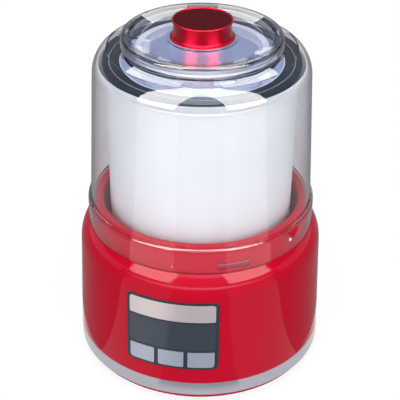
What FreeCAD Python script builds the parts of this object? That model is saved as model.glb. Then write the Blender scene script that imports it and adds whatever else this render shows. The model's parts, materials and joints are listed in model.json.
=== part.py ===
import FreeCAD, Part
import math
import operator
import os
import types

import Sketcher

# Frozen yogurt maker: a motor base that turns a double-walled freezer bowl under a
# clear cover. The paddle hangs still from the cover's neck while the bowl goes round.
# Millimetres, +Z up, the feet stand on Z = 0 and the control panel faces -Y.

SIZES = {
    # Feet, bottom plate and trim band
    "foot_height": 3.0,
    "tread_height": 1.0,
    "foot_radius": 9.0,
    "foot_inset": 23.4,
    "foot_plug": 1.5,
    "plate_thickness": 3.0,
    "vent_near": 18.2,
    "vent_length": 18.2,
    "vent_width": 3.0,
    "lip_inset": 3.5,
    "lip_height": 4.5,
    "lip_round": 1.5,
    "spigot_height": 4.5,
    "spigot_width": 2.8,
    "foot_rim_width": 3.0,
    "fit_gap": 0.2,
    "lip_gap": 1.5,
    "band_height": 12.4,
    "band_thickness": 1.6,
    # Red housing
    "wall_thickness": 2.5,
    "wall_height": 84.6,
    "wall_inset": 2.5,
    "shoulder_radius": 31.5,
    "shoulder_reach": 7.1,
    "ledge_margin": 0.3,
    "collar_width": 8.0,
    "collar_height": 23.0,
    "collar_round": 2.0,
    "well_margin": 6.4,
    "well_depth": 38.0,
    "well_floor_thickness": 3.0,
    "hub_drop": 6.0,
    "hub_wall": 4.0,
    "hub_clearance": 0.9,
    "lug_depth": 2.0,
    "lug_gap": 0.7,
    "lug_height": 4.0,
    "lug_angle": 16.0,
    # Fasteners
    "screw_radius": 1.5,
    "screw_head_radius": 3.2,
    "screw_head_height": 2.0,
    "screw_bite": 10.0,
    "board_bite": 5.0,
    "boss_radius": 5.0,
    "boss_margin": 2.4,
    "boss_height": 40.0,
    "boss_rib": 3.0,
    # Control panel
    "panel_half_width": 39.4,
    "panel_foot_margin": 14.9,
    "panel_head_margin": 3.4,
    "panel_corner": 5.0,
    "panel_border": 2.7,
    "panel_edge": 2.0,
    "panel_overlap": 1.8,
    "panel_proud": 0.9,
    "panel_depth": 1.2,
    "key_height": 15.7,
    "key_gap": 2.8,
    "key_clearance": 0.3,
    "key_corner": 0.8,
    "key_lip": 1.2,
    "key_lip_depth": 2.0,
    "key_travel": 1.0,
    "bar_height": 1.8,
    "name_height": 16.7,
    "lens_thickness": 1.8,
    "switch_height": 3.9,
    "switch_width": 6.0,
    "plunger_radius": 1.7,
    "plunger_height": 1.0,
    "circuit_thickness": 1.6,
    "control_margin": 0.7,
    "control_head": 4.8,
    "peg_radius": 2.4,
    "pin_radius": 1.2,
    "lcd_margin": 11.0,
    "lcd_edge": 3.15,
    "lcd_depth": 9.0,
    # Gear train
    "spindle_radius": 5.0,
    "running_gap": 0.05,
    "end_play": 0.2,
    "bush_wall": 3.5,
    "bush_flange_width": 3.0,
    "bush_flange_height": 1.5,
    "output_module": 1.25,
    "output_width": 8.0,
    "idler_module": 1.0,
    "idler_width": 7.0,
    "gear_step": 3.0,
    "gear_spare": 0.4,
    "web_recess": 4.0,
    "gear_hub_radius": 9.5,
    "idler_hub_wall": 3.0,
    "axle_radius": 3.0,
    "spindle_tail": 3.0,
    "clip_height": 1.0,
    "clip_width": 2.5,
    "chassis_gap": 4.0,
    "chassis_thickness": 2.0,
    "chassis_margin": 8.0,
    "chassis_corner": 8.0,
    "post_radius": 4.0,
    "post_clearance": 5.05,
    "post_angle": 40.6,
    "post_setback": 12.5,
    # Motor
    "motor_angle": 200.0,
    "motor_radius": 19.0,
    "motor_length": 44.0,
    "motor_wall": 1.2,
    "motor_shaft_radius": 2.0,
    "end_cap_height": 5.0,
    "magnet_thickness": 3.2,
    "magnet_margin": 8.0,
    "magnet_angle": 120.0,
    "air_gap": 0.6,
    "core_margin": 11.0,
    "slot_width": 5.0,
    "slot_depth": 7.0,
    "winding_overhang": 3.5,
    "commutator_radius": 4.5,
    "commutator_length": 4.0,
    # Power supply
    "standoff_radius": 3.0,
    "standoff_height": 6.0,
    "supply_inset": 43.4,
    "supply_y": -5.0,
    "supply_half_width": 22.0,
    "supply_half_length": 35.0,
    "standoff_inset": 4.0,
    "core_width": 32.0,
    "core_height": 26.0,
    "core_depth": 16.0,
    "core_leg": 5.5,
    "winding_bulge": 6.0,
    "transformer_y": -18.0,
    "capacitor_y": 16.0,
    "capacitor_offset": 10.0,
    "capacitor_radius": 5.0,
    "capacitor_height": 16.0,
    # Cord inlet
    "inlet_height": 16.0,
    "inlet_bore": 3.2,
    "inlet_neck": 5.0,
    "inlet_flange": 8.0,
    "inlet_proud": 1.4,
    "inlet_sink": 1.2,
    # Freezer bowl
    "bowl_gap": 4.1,
    "bowl_height": 150.8,
    "bowl_foot_radius": 77.6,
    "bowl_flare": 1.8,
    "bowl_round": 8.0,
    "shell_thickness": 2.0,
    "jacket_width": 14.6,
    "liner_flare": 3.0,
    "liner_round": 10.0,
    "liner_thickness": 1.5,
    "bowl_floor_depth": 18.0,
    "fill_drop": 11.0,
    "socket_radius": 26.0,
    "socket_depth": 9.9,
    "socket_roof": 3.0,
    "coupling_flat": 11.0,
    "coupling_gap": 0.6,
    "rim_overhang": 4.6,
    "rim_height": 6.2,
    "rim_round": 1.2,
    "rim_band": 8.5,
    "rim_step": 0.9,
    # Clear cover and paddle
    "skirt_height": 20.7,
    "cover_thickness": 2.3,
    "collar_gap": 0.3,
    "rim_clearance": 3.9,
    "cover_drop": 3.8,
    "cover_shoulder": 25.3,
    "crease_inset": 12.0,
    "crown_width": 9.7,
    "crown_rise": 2.5,
    "neck_inset": 4.5,
    "neck_height": 5.0,
    "neck_drop": 6.7,
    "neck_flange": 6.0,
    "neck_flange_height": 2.0,
    "lug_lift": 3.0,
    "lug_spacing": 6.0,
    "paddle_gap": 0.6,
    "paddle_ring_width": 5.5,
    "paddle_ring_height": 7.5,
    "tab_height": 2.5,
    "tab_angle": 14.0,
    "notch_angle": 16.4,
    "paddle_thickness": 4.0,
    "paddle_side_gap": 2.0,
    "paddle_floor_gap": 2.5,
    "blade_width": 12.0,
    "arm_width": 9.0,
    "cross_bar": 10.0,
    # Lid and knob
    "lid_gap": 0.3,
    "lid_inset": 1.0,
    "lid_thickness": 2.2,
    "lid_skirt": 6.0,
    "lid_round": 3.0,
    "lid_rim_width": 1.5,
    "dish_inset": 8.7,
    "dish_depth": 3.8,
    "plug_gap": 0.8,
    "plug_lift": 1.0,
    "lid_headroom": 0.3,
    "knob_waist": 23.0,
    "knob_head_flare": 2.0,
    "knob_foot_flare": 3.5,
    "knob_height": 16.3,
    "knob_foot_height": 1.5,
    "knob_head_height": 3.0,
    "knob_edge": 1.0,
    "knob_face_inset": 2.0,
    "knob_dish": 0.8,
    "knob_ring_gap": 0.5,
    "knob_ring_width": 2.0,
    "knob_ring_height": 1.2,
}

OUTPUT_TEETH = 72
IDLER_TEETH = 60
PINION_TEETH = 12
PRESSURE_ANGLE = math.radians(25)
TOOTH_DEPTH = 1.25
TOOTH_PLAY = 0.14
FLANK_STEPS = 3
WEB_MODULES = 4
FEET = 4
BOSSES = 4
BOSS_START = 45
VENTS = 12
LUGS = 3
TABS = 3
MAGNETS = 2
SLOTS = 3
HEXAGON = 6
FULL_TURN = 360
LEFT = 1
RIGHT = -1

document = FreeCAD.newDocument("yogurt_maker")
sheet = document.addObject("Spreadsheet::Sheet", "Sizes")
pieces = []

OPERATIONS = {
    "+": operator.add,
    "-": operator.sub,
    "*": operator.mul,
    "/": operator.truediv,
}


class Size:
    """A number together with the sheet formula that gives it."""

    def __init__(self, value, formula):
        self.value = value
        self.formula = formula

    def __add__(self, other):
        return combine(self, "+", other)

    def __radd__(self, other):
        return combine(other, "+", self)

    def __sub__(self, other):
        return combine(self, "-", other)

    def __rsub__(self, other):
        return combine(other, "-", self)

    def __mul__(self, other):
        return combine(self, "*", other)

    def __rmul__(self, other):
        return combine(other, "*", self)

    def __truediv__(self, other):
        return combine(self, "/", other)

    def __neg__(self):
        return combine(0, "-", self)


def as_size(item):
    """Return a Size for a Size or a plain number."""
    if isinstance(item, Size):
        return item
    return Size(float(item), f"{float(item):.9g}")


def combine(left, sign, right):
    """Join two sizes, as numbers and as formulas."""
    left = as_size(left)
    right = as_size(right)
    value = OPERATIONS[sign](left.value, right.value)
    return Size(value, f"({left.formula} {sign} {right.formula})")


def root(size):
    """Square root of a size."""
    return Size(math.sqrt(size.value), f"sqrt({size.formula})")


def cosine(degrees):
    """Cosine of a size in degrees."""
    return Size(math.cos(math.radians(degrees.value)), f"cos({degrees.formula})")


def sine(degrees):
    """Sine of a size in degrees."""
    return Size(math.sin(math.radians(degrees.value)), f"sin({degrees.formula})")


def fill_sheet():
    """Write every driving dimension to the sheet and return the sizes by name."""
    for row, (name, value) in enumerate(SIZES.items(), start=1):
        sheet.set(f"A{row}", name)
        sheet.set(f"B{row}", str(value))
        sheet.setAlias(f"B{row}", name)
    document.recompute()
    return {name: Size(float(sheet.get(name)), f"Sizes.{name}") for name in SIZES}


def bind(item, path, size):
    """Tie one property of an object to the sheet."""
    item.setExpression(path, as_size(size).formula)


def new_piece(label):
    """Start a sub-part."""
    body = document.addObject("PartDesign::Body", label)
    body.Label = label
    pieces.append(body)
    return body


def place(body, x, y):
    """Stand a sub-part that was drawn on its own axis at x, y."""
    bind(body, "Placement.Base.x", x)
    bind(body, "Placement.Base.y", y)


def origin_feature(body, role):
    """Find an origin plane or axis of a body."""
    return next(item for item in body.Origin.OriginFeatures if item.Role == role)


def new_sketch(body, plane, offset):
    """Attach a sketch to an origin plane, moved along the plane's normal."""
    sketch = body.newObject("Sketcher::SketchObject", f"{body.Name}_sketch")
    sketch.AttachmentSupport = [(origin_feature(body, plane), "")]
    sketch.MapMode = "FlatFace"
    bind(sketch, "AttachmentOffset.Base.z", offset)
    return sketch


def pin_point(rules, ties, edge, end, x, y):
    """Hold one point of a sketch at x, y from the sketch's origin."""
    for kind, axis, distance in (("DistanceX", -2, x), ("DistanceY", -1, y)):
        distance = as_size(distance)
        if distance.formula == "0":
            rules.append(Sketcher.Constraint("PointOnObject", edge, end, axis))
        else:
            ties[len(rules)] = distance
            rules.append(Sketcher.Constraint(kind, -1, 1, edge, end, distance.value))


def apply_rules(sketch, rules, ties):
    """Add constraints to a sketch and tie their values to the sheet."""
    first = sketch.ConstraintCount
    sketch.addConstraint(rules)
    for index, size in ties.items():
        bind(sketch, f"Constraints[{first + index}]", size)


def flat_point(corner):
    """The place of an outline's corner in its sketch."""
    return FreeCAD.Vector(as_size(corner[0]).value, as_size(corner[1]).value, 0)


def arc_between(start, end, radius, turn):
    """The short arc from start to end that bends to the left or the right."""
    chord = end - start
    reach = math.sqrt(max(radius**2 - (chord.Length / 2) ** 2, 0))
    sideways = FreeCAD.Vector(-chord.y, chord.x, 0).normalize() * turn
    centre = (start + end) / 2 + sideways * reach
    first, last = (start, end) if turn == LEFT else (end, start)
    angles = [math.atan2(p.y - centre.y, p.x - centre.x) for p in (first, last)]
    circle = Part.Circle(centre, FreeCAD.Vector(0, 0, 1), radius)
    return Part.ArcOfCircle(circle, angles[0], angles[1])


def draw_outline(sketch, corners):
    """Draw a closed outline.

    A corner is (x, y), or (x, y, radius, turn) where an arc arrives at it.
    """
    first = sketch.GeometryCount
    edges = []
    ends = []
    rules = []
    ties = {}
    for index, corner in enumerate(corners):
        start = flat_point(corners[index - 1])
        end = flat_point(corner)
        if len(corner) == 2:
            edges.append(Part.LineSegment(start, end))
            ends.append((1, 2))
            continue
        radius, turn = corner[2:]
        edges.append(arc_between(start, end, as_size(radius).value, turn))
        ends.append((1, 2) if turn == LEFT else (2, 1))
        ties[len(rules)] = as_size(radius)
        rules.append(Sketcher.Constraint("Radius", first + index, as_size(radius).value))
    for index, corner in enumerate(corners):
        after = (index + 1) % len(corners)
        here = (first + index, ends[index][1])
        rules.append(Sketcher.Constraint("Coincident", *here, first + after, ends[after][0]))
        pin_point(rules, ties, *here, corner[0], corner[1])
    sketch.addGeometry(edges)
    apply_rules(sketch, rules, ties)


def draw_circle(sketch, x, y, radius):
    """Draw a circle."""
    index = sketch.GeometryCount
    radius = as_size(radius)
    sketch.addGeometry(Part.Circle(flat_point((x, y)), FreeCAD.Vector(0, 0, 1), radius.value))
    rules = [Sketcher.Constraint("Radius", index, radius.value)]
    ties = {0: radius}
    pin_point(rules, ties, index, 3, x, y)
    apply_rules(sketch, rules, ties)


def add_feature(body, kind, sketch, shapes):
    """Draw shapes, lists as outlines and tuples as circles, and use them in a feature."""
    for shape in shapes:
        if isinstance(shape, tuple):
            draw_circle(sketch, *shape)
        else:
            draw_outline(sketch, shape)
    feature = body.newObject(f"PartDesign::{kind}", f"{body.Name}_{kind}")
    feature.Profile = sketch
    return feature


def extrude(body, kind, plane, ends, *shapes):
    """Pad or Pocket shapes between two distances along the plane's normal."""
    low, high = sorted((as_size(end) for end in ends), key=lambda size: size.value)
    feature = add_feature(body, kind, new_sketch(body, plane, low), shapes)
    bind(feature, "Length", high - low)
    feature.Reversed = kind == "Pocket"
    return feature


def spin(body, kind, corners, angle=FULL_TURN):
    """Revolution or Groove of an outline in the XZ plane about the Z axis."""
    sketch = new_sketch(body, "XZ_Plane", 0)
    feature = add_feature(body, kind, sketch, [corners])
    feature.ReferenceAxis = (sketch, ["V_Axis"])
    feature.Midplane = True
    bind(feature, "Angle", angle)
    return feature


def repeat(body, feature, count):
    """Repeat a feature round the Z axis."""
    pattern = body.newObject("PartDesign::PolarPattern", f"{body.Name}_pattern")
    pattern.Originals = [feature]
    pattern.Axis = (origin_feature(body, "Z_Axis"), [""])
    pattern.Angle = FULL_TURN
    pattern.Occurrences = count
    body.Tip = pattern


def ring(radius, count, start):
    """Evenly spaced places on a circle, the first at start degrees."""
    angles = [math.radians(start + FULL_TURN * index / count) for index in range(count)]
    return [(radius * math.cos(angle), radius * math.sin(angle)) for angle in angles]


def circles(places, radius):
    """One circle at each place."""
    return [(x, y, radius) for x, y in places]


def rectangle(left, right, low, high):
    """Corners of a rectangle."""
    return [(right, low), (right, high), (left, high), (left, low)]


def rounded(left, right, low, high, low_left, low_right, top):
    """Corners of a rectangle with a radius at each lower corner and one for the top."""
    return [
        (right - low_right, low),
        (right, low + low_right, low_right, LEFT),
        (right, high - top),
        (right - top, high, top, LEFT),
        (left + top, high),
        (left, high - top, top, LEFT),
        (left, low + low_left),
        (left + low_left, low, low_left, LEFT),
    ]


def tube(label, inner, outer, low, high):
    """A plain ring."""
    body = new_piece(label)
    spin(body, "Revolution", [(outer, low), (outer, high), (inner, high), (inner, low)])
    return body


def flanged_bush(label, bore, barrel, flange, low, seat, top):
    """A bush whose flange stands on its seat."""
    body = new_piece(label)
    outline = [
        (bore, low),
        (barrel, low),
        (barrel, seat),
        (flange, seat),
        (flange, top),
        (bore, top),
    ]
    spin(body, "Revolution", outline)


def screws(label, places, plane, seat, head_end, tip, radius, head_radius):
    """A group of screws whose heads bear on the seat."""
    body = new_piece(label)
    extrude(body, "Pad", plane, (seat, head_end), *circles(places, head_radius))
    extrude(body, "Pad", plane, (seat, tip), *circles(places, radius))


s = types.SimpleNamespace(**fill_sheet())

# Radii, from the freezer bowl outwards
bowl_top_radius = s.bowl_foot_radius + s.bowl_flare
rim_radius = bowl_top_radius + s.rim_overhang
liner_foot_radius = s.bowl_foot_radius - s.jacket_width
liner_top_radius = liner_foot_radius + s.liner_flare
well_radius = s.bowl_foot_radius + s.well_margin
collar_radius = well_radius + s.collar_width
skirt_inner = collar_radius + s.lug_depth + s.lug_gap
skirt_radius = skirt_inner + s.cover_thickness
ledge_radius = skirt_radius + s.ledge_margin
wall_top_radius = ledge_radius + s.shoulder_reach
band_radius = wall_top_radius + s.wall_inset
band_inner = band_radius - s.band_thickness
lip_radius = band_radius - s.lip_inset
rim_inner = lip_radius - s.foot_rim_width
spigot_radius = rim_inner - s.fit_gap
spigot_inner = spigot_radius - s.spigot_width
boss_ring = spigot_inner - s.boss_radius - s.boss_margin
screw_hole = s.screw_radius + s.fit_gap
bosses = ring(boss_ring, BOSSES, BOSS_START)
feet = ring(lip_radius - s.foot_inset, FEET, 0)

# Heights of the base
plate_z = s.foot_height
floor_z = plate_z + s.plate_thickness
lip_top = plate_z + s.lip_height
spigot_top = lip_top + s.spigot_height
band_z = lip_top + s.lip_gap
band_top = band_z + s.band_height
wall_top = band_top + s.wall_height
wall_slope = s.wall_inset / s.wall_height
shoulder_axis = wall_top_radius - s.shoulder_radius
ledge_span = ledge_radius - shoulder_axis
ledge_z = wall_top + root(s.shoulder_radius * s.shoulder_radius - ledge_span * ledge_span)
collar_top = ledge_z + s.collar_height
well_floor = collar_top - s.well_depth
well_under = well_floor - s.well_floor_thickness
hub_z = well_under - s.hub_drop
inlet_z = band_top + s.inlet_height

# Gear train, from the well's floor down
gear_top = hub_z - s.hub_clearance
output_z = gear_top - s.output_width
idler_gear_top = output_z - s.gear_step
idler_gear_z = idler_gear_top - s.idler_width
chassis_top = idler_gear_z - s.chassis_gap
chassis_z = chassis_top - s.chassis_thickness
pinion_z = idler_gear_z - s.gear_spare
pinion_top = idler_gear_top + s.gear_spare
idler_y = s.output_module * ((OUTPUT_TEETH + PINION_TEETH) / 2)
motor_reach = s.idler_module * ((IDLER_TEETH + PINION_TEETH) / 2)
motor_x = motor_reach * cosine(s.motor_angle)
motor_y = idler_y + motor_reach * sine(s.motor_angle)
bush_bore = s.spindle_radius + s.running_gap
bush_radius = s.spindle_radius + s.bush_wall
bush_flange = bush_radius + s.bush_flange_width
lower_bush_top = chassis_top + s.bush_flange_height
upper_bush_top = well_floor + s.bush_flange_height
output_tip = s.output_module * (OUTPUT_TEETH / 2 + 1)
post_ring = output_tip + s.post_radius + s.post_clearance
post_side = post_ring * cosine(s.post_angle)
post_front = post_ring * sine(s.post_angle)
post_back = idler_y + s.post_setback
posts = [(post_side * side, back) for side in (-1, 1) for back in (-post_front, post_back)]

# Control panel
panel_bottom = band_top + s.panel_foot_margin
panel_top = wall_top - s.panel_head_margin
panel_inner = s.panel_half_width - s.panel_border
panel_round = s.panel_corner - s.panel_edge
panel_far = band_radius + s.panel_corner
panel_bite = s.wall_thickness + s.panel_depth
key_width = (panel_inner * 2 - s.key_gap * 2) / 3
key_pitch = key_width + s.key_gap
key_low = panel_bottom + s.panel_edge
key_high = key_low + s.key_height
key_wall = band_radius - (key_high + s.key_lip - band_top) * wall_slope
key_stop = key_wall - panel_bite - s.key_clearance
key_back = root(key_stop * key_stop - panel_inner * panel_inner) - s.key_lip_depth
panel_near = key_back - s.key_travel
name_high = panel_top - s.panel_edge
name_low = name_high - s.name_height
lens_low = key_high + s.bar_height
lens_high = name_low - s.bar_height
control_front = panel_near - s.running_gap - s.switch_height
control_back = control_front - s.circuit_thickness
control_half_width = panel_inner - s.control_margin
lcd_half_width = control_half_width - s.lcd_margin
peg_x = panel_inner - s.peg_radius - s.panel_overlap
peg_z = (name_low + lens_high) / 2
pin_x = (key_width + s.key_gap) / 2
pin_z = (key_low + key_high) / 2

# Motor
motor_top = chassis_z
motor_z = motor_top - s.motor_length
motor_bore = s.motor_radius - s.motor_wall
core_radius = motor_bore - s.magnet_thickness - s.air_gap
core_z = motor_z + s.core_margin
core_top = motor_top - s.core_margin
winding_z = core_z - s.winding_overhang
winding_top = core_top + s.winding_overhang
shaft_bore = s.motor_shaft_radius + s.running_gap
motor_bush_radius = s.motor_shaft_radius + s.bush_wall
motor_screw_offset = (motor_bush_radius + motor_bore) / 2
motor_screw_places = [(motor_screw_offset * side, 0) for side in (-1, 1)]

# Power supply
supply_z = floor_z + s.standoff_height
supply_top = supply_z + s.circuit_thickness
supply_x = lip_radius - s.supply_inset
supply_corners = [
    (
        supply_x + (s.supply_half_width - s.standoff_inset) * side,
        s.supply_y + (s.supply_half_length - s.standoff_inset) * back,
    )
    for side in (-1, 1)
    for back in (-1, 1)
]

# Freezer bowl
bowl_z = well_floor + s.bowl_gap
shell_top = bowl_z + s.bowl_height
shell_round_z = bowl_z + s.bowl_round
shell_floor = bowl_z + s.shell_thickness
liner_z = bowl_z + s.bowl_floor_depth
liner_under = liner_z - s.liner_thickness
liner_round_z = liner_z + s.liner_round
fill_z = shell_top - s.fill_drop
socket_top = bowl_z + s.socket_depth
socket_cap = socket_top + s.socket_roof
rim_top = shell_top + s.rim_height

# Clear cover, paddle and lid
cover_foot_radius = collar_radius + s.collar_gap + s.cover_thickness
cover_top_radius = rim_radius + s.rim_clearance + s.cover_thickness
crease_radius = cover_top_radius - s.crease_inset
crown_radius = crease_radius - s.crown_width
neck_radius = crown_radius - s.neck_inset
skirt_top = ledge_z + s.skirt_height
step_radius = skirt_radius - cover_foot_radius
cover_wall_z = skirt_top + step_radius
cover_shoulder_z = shell_top - s.cover_drop
cover_axis = cover_top_radius - s.cover_shoulder
crease_span = crease_radius - cover_axis
crease_rise = root(s.cover_shoulder * s.cover_shoulder - crease_span * crease_span)
crease_z = cover_shoulder_z + crease_rise
cover_inner_share = (s.cover_shoulder - s.cover_thickness) / s.cover_shoulder
crown_z = crease_z + s.crown_rise
neck_inner = neck_radius - s.cover_thickness
neck_top = crown_z + s.neck_height
flange_radius = neck_inner - s.neck_flange
flange_top = crown_z - s.neck_drop
flange_z = flange_top - s.neck_flange_height
paddle_ring_radius = flange_radius - s.paddle_gap
paddle_ring_inner = paddle_ring_radius - s.paddle_ring_width
paddle_top = flange_top + s.tab_height
paddle_ring_z = paddle_top - s.paddle_ring_height
lid_radius = neck_radius + s.lid_gap + s.lid_thickness + s.lid_inset
lid_edge_z = crown_z + s.lid_skirt
lid_top = lid_edge_z + s.lid_round
lid_ceiling = lid_top - s.lid_thickness - s.lid_headroom
lid_rim_radius = lid_radius - s.lid_inset - s.lid_round
lid_rim_inner = lid_rim_radius - s.lid_rim_width
plug_outer = neck_inner - s.plug_gap
plug_inner = plug_outer - s.lid_thickness
dish_radius = plug_inner - s.dish_inset
dish_z = lid_top - s.dish_depth
dish_under = dish_z - s.lid_thickness
dish_slope = s.dish_depth / (lid_rim_inner - dish_radius)
knob_radius = s.knob_waist + s.knob_head_flare
knob_foot_radius = s.knob_waist + s.knob_foot_flare
knob_top = dish_z + s.knob_height
knob_bore_top = dish_z + s.screw_bite


def wall_radius(height):
    """Outer radius of the leaning housing wall at a height."""
    return band_radius - (height - band_top) * wall_slope


def shell_inner(height):
    """Inner radius of the bowl's outer shell at a height."""
    lean = (bowl_top_radius - s.bowl_foot_radius) / (shell_top - shell_round_z)
    return s.bowl_foot_radius - s.shell_thickness + (height - shell_round_z) * lean


def liner_inner(height):
    """Inner radius of the bowl's metal liner at a height."""
    lean = (liner_top_radius - liner_foot_radius) / (shell_top - liner_round_z)
    return liner_foot_radius + (height - liner_round_z) * lean


def trim_outside(body, offset):
    """Cut away what stands further out than the housing wall plus an offset."""
    low = band_top
    high = wall_top
    outline = [
        (wall_radius(low) + offset, low),
        (panel_far * 2, low),
        (panel_far * 2, high),
        (wall_radius(high) + offset, high),
    ]
    spin(body, "Groove", outline)


def trim_inside(body, offset):
    """Cut away what lies further in than the housing wall plus an offset."""
    low = band_top
    high = wall_top
    outline = [
        (0, low),
        (wall_radius(low) + offset, low),
        (wall_radius(high) + offset, high),
        (0, high),
    ]
    spin(body, "Groove", outline)


def panel_outline(inset):
    """The panel's rounded outline, drawn in by an inset."""
    half = s.panel_half_width - inset
    corner = s.panel_corner - inset
    return rounded(
        -half, half, panel_bottom + inset, panel_top - inset, corner, corner, corner
    )


def key_outline(column, inset):
    """A key's outline: the outer keys have one larger corner at the panel's foot."""
    middle = key_pitch * column
    small = s.key_corner + s.key_clearance - inset
    large = panel_round - inset
    return rounded(
        middle - key_width / 2 + inset,
        middle + key_width / 2 - inset,
        key_low + inset,
        key_high - inset,
        large if column < 0 else small,
        large if column > 0 else small,
        small,
    )


def name_outline():
    """The bare plate above the display."""
    return rounded(
        -panel_inner, panel_inner, name_low, name_high, s.key_corner, s.key_corner, panel_round
    )


def lens_outline():
    """The display window."""
    corner = s.key_corner
    return rounded(-panel_inner, panel_inner, lens_low, lens_high, corner, corner, corner)


def build_feet():
    """Four rubber feet, each with a stepped tread."""
    body = new_piece("rubber_feet")
    tread = s.tread_height
    extrude(body, "Pad", "XY_Plane", (tread, plate_z + s.foot_plug), *circles(feet, s.foot_radius))
    extrude(body, "Pad", "XY_Plane", (0, tread), *circles(feet, s.foot_radius - tread))


def build_base_plate():
    """Bottom plate with the red lip, a spigot for the housing, standoffs and vents."""
    body = new_piece("base_plate")
    outline = [
        (0, plate_z),
        (lip_radius - s.lip_round, plate_z),
        (lip_radius, plate_z + s.lip_round, s.lip_round, LEFT),
        (lip_radius, lip_top),
        (spigot_radius, lip_top),
        (spigot_radius, spigot_top),
        (spigot_inner, spigot_top),
        (spigot_inner, floor_z),
        (0, floor_z),
    ]
    spin(body, "Revolution", outline)
    standoffs = circles(supply_corners, s.standoff_radius)
    extrude(body, "Pad", "XY_Plane", (floor_z, supply_z), *standoffs)
    pilots = circles(supply_corners, screw_hole)
    extrude(body, "Pocket", "XY_Plane", (floor_z, supply_z), *pilots)
    recesses = circles(feet, s.foot_radius + s.fit_gap)
    extrude(body, "Pocket", "XY_Plane", (plate_z, plate_z + s.foot_plug), *recesses)
    heads = circles(bosses, s.screw_head_radius + s.fit_gap)
    extrude(body, "Pocket", "XY_Plane", (plate_z, plate_z + s.screw_head_height), *heads)
    extrude(body, "Pocket", "XY_Plane", (plate_z, floor_z), *circles(bosses, screw_hole))
    slot = rounded_slot(s.vent_near, s.vent_near + s.vent_length, s.vent_width / 2)
    repeat(body, extrude(body, "Pocket", "XY_Plane", (plate_z, floor_z), slot), VENTS)


def rounded_slot(near, far, half):
    """A slot along the X axis with half-round ends."""
    return [
        (far, -half),
        (far + half, 0, half, LEFT),
        (far, half, half, LEFT),
        (near, half),
        (near - half, 0, half, LEFT),
        (near, -half, half, LEFT),
    ]


def build_trim_band():
    """Silver band round the foot of the housing."""
    tube("trim_band", band_inner, band_radius, band_z, band_top)


def build_housing():
    """Red housing: leaning wall, round shoulder, cover ledge, collar and bowl well."""
    body = new_piece("base_housing")
    under = ledge_z - s.wall_thickness
    inner_round = s.shoulder_radius - s.wall_thickness
    inner_rise = under - wall_top
    well_back = well_radius + s.wall_thickness
    collar_back = collar_radius - s.wall_thickness
    collar_under = collar_top - s.wall_thickness
    hub_radius = bush_radius + s.hub_wall
    outline = [
        (rim_inner, lip_top),
        (band_inner, lip_top),
        (band_inner, band_top),
        (band_radius, band_top),
        (wall_top_radius, wall_top),
        (ledge_radius, ledge_z, s.shoulder_radius, LEFT),
        (collar_radius, ledge_z),
        (collar_radius, collar_top - s.collar_round),
        (collar_radius - s.collar_round, collar_top, s.collar_round, LEFT),
        (well_radius + s.collar_round, collar_top),
        (well_radius, collar_top - s.collar_round, s.collar_round, LEFT),
        (well_radius, well_floor),
        (bush_radius, well_floor),
        (bush_radius, hub_z),
        (hub_radius, hub_z),
        (hub_radius, well_under),
        (well_back, well_under),
        (well_back, collar_under),
        (collar_back, collar_under),
        (collar_back, under),
        (shoulder_axis + root(inner_round * inner_round - inner_rise * inner_rise), under),
        (wall_top_radius - s.wall_thickness, wall_top, inner_round, RIGHT),
        (band_radius - s.wall_thickness - s.band_thickness, band_top),
        (rim_inner, band_z + s.spigot_height),
    ]
    spin(body, "Revolution", outline)
    boss_top = floor_z + s.boss_height
    rib_start = spigot_top + s.fit_gap
    rib_half = s.boss_rib / 2
    rib = rectangle(boss_ring, band_radius - s.wall_thickness, -rib_half, rib_half)
    extrude(body, "Pad", "XY_Plane", (floor_z, boss_top), *circles(bosses, s.boss_radius))
    for turn in range(BOSSES):
        angle = BOSS_START + FULL_TURN * turn / BOSSES
        turned = [turn_point(x, y, angle) for x, y in rib]
        extrude(body, "Pad", "XY_Plane", (rib_start, boss_top), turned)
    pilot_top = floor_z + s.screw_bite + s.fit_gap
    extrude(body, "Pocket", "XY_Plane", (floor_z, pilot_top), *circles(bosses, screw_hole))
    extrude(body, "Pad", "XY_Plane", (chassis_top, well_under), *circles(posts, s.post_radius))
    post_pilot = chassis_top + s.screw_bite + s.fit_gap
    extrude(body, "Pocket", "XY_Plane", (chassis_top, post_pilot), *circles(posts, screw_hole))
    lug_z = ledge_z + s.lug_lift + s.lug_height + s.lug_spacing
    lug = rectangle(
        collar_radius - s.wall_thickness / 2,
        collar_radius + s.lug_depth,
        lug_z,
        lug_z + s.lug_height,
    )
    repeat(body, spin(body, "Revolution", lug, s.lug_angle), LUGS)
    window = panel_outline(s.panel_overlap)
    extrude(body, "Pocket", "XZ_Plane", (panel_near, panel_far), window)
    flat = wall_radius(inlet_z) - s.inlet_sink
    seat = (0, inlet_z, s.inlet_flange + s.fit_gap)
    extrude(body, "Pocket", "XZ_Plane", (-flat, -panel_far), seat)
    extrude(body, "Pocket", "XZ_Plane", (-boss_ring, -panel_far), (0, inlet_z, s.inlet_neck))


def turn_point(x, y, degrees):
    """Turn a point of the XY plane about the Z axis."""
    across = math.cos(math.radians(degrees))
    along = math.sin(math.radians(degrees))
    return (x * across - y * along, x * along + y * across)


def build_cord_inlet():
    """Rubber inlet in the back wall, through which a lead can be drawn."""
    body = new_piece("cord_inlet")
    flat = wall_radius(inlet_z) - s.inlet_sink
    outer = flat + s.inlet_sink + s.inlet_proud
    inner = flat - s.wall_thickness - s.band_thickness
    extrude(body, "Pad", "XZ_Plane", (-flat, -outer), (0, inlet_z, s.inlet_flange))
    extrude(body, "Pad", "XZ_Plane", (-inner, -flat), (0, inlet_z, s.inlet_neck))
    tail = inner - s.inlet_neck
    extrude(body, "Pad", "XZ_Plane", (-tail, -inner), (0, inlet_z, s.inlet_neck + s.fit_gap))
    extrude(body, "Pocket", "XZ_Plane", (-tail, -outer), (0, inlet_z, s.inlet_bore))


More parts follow.
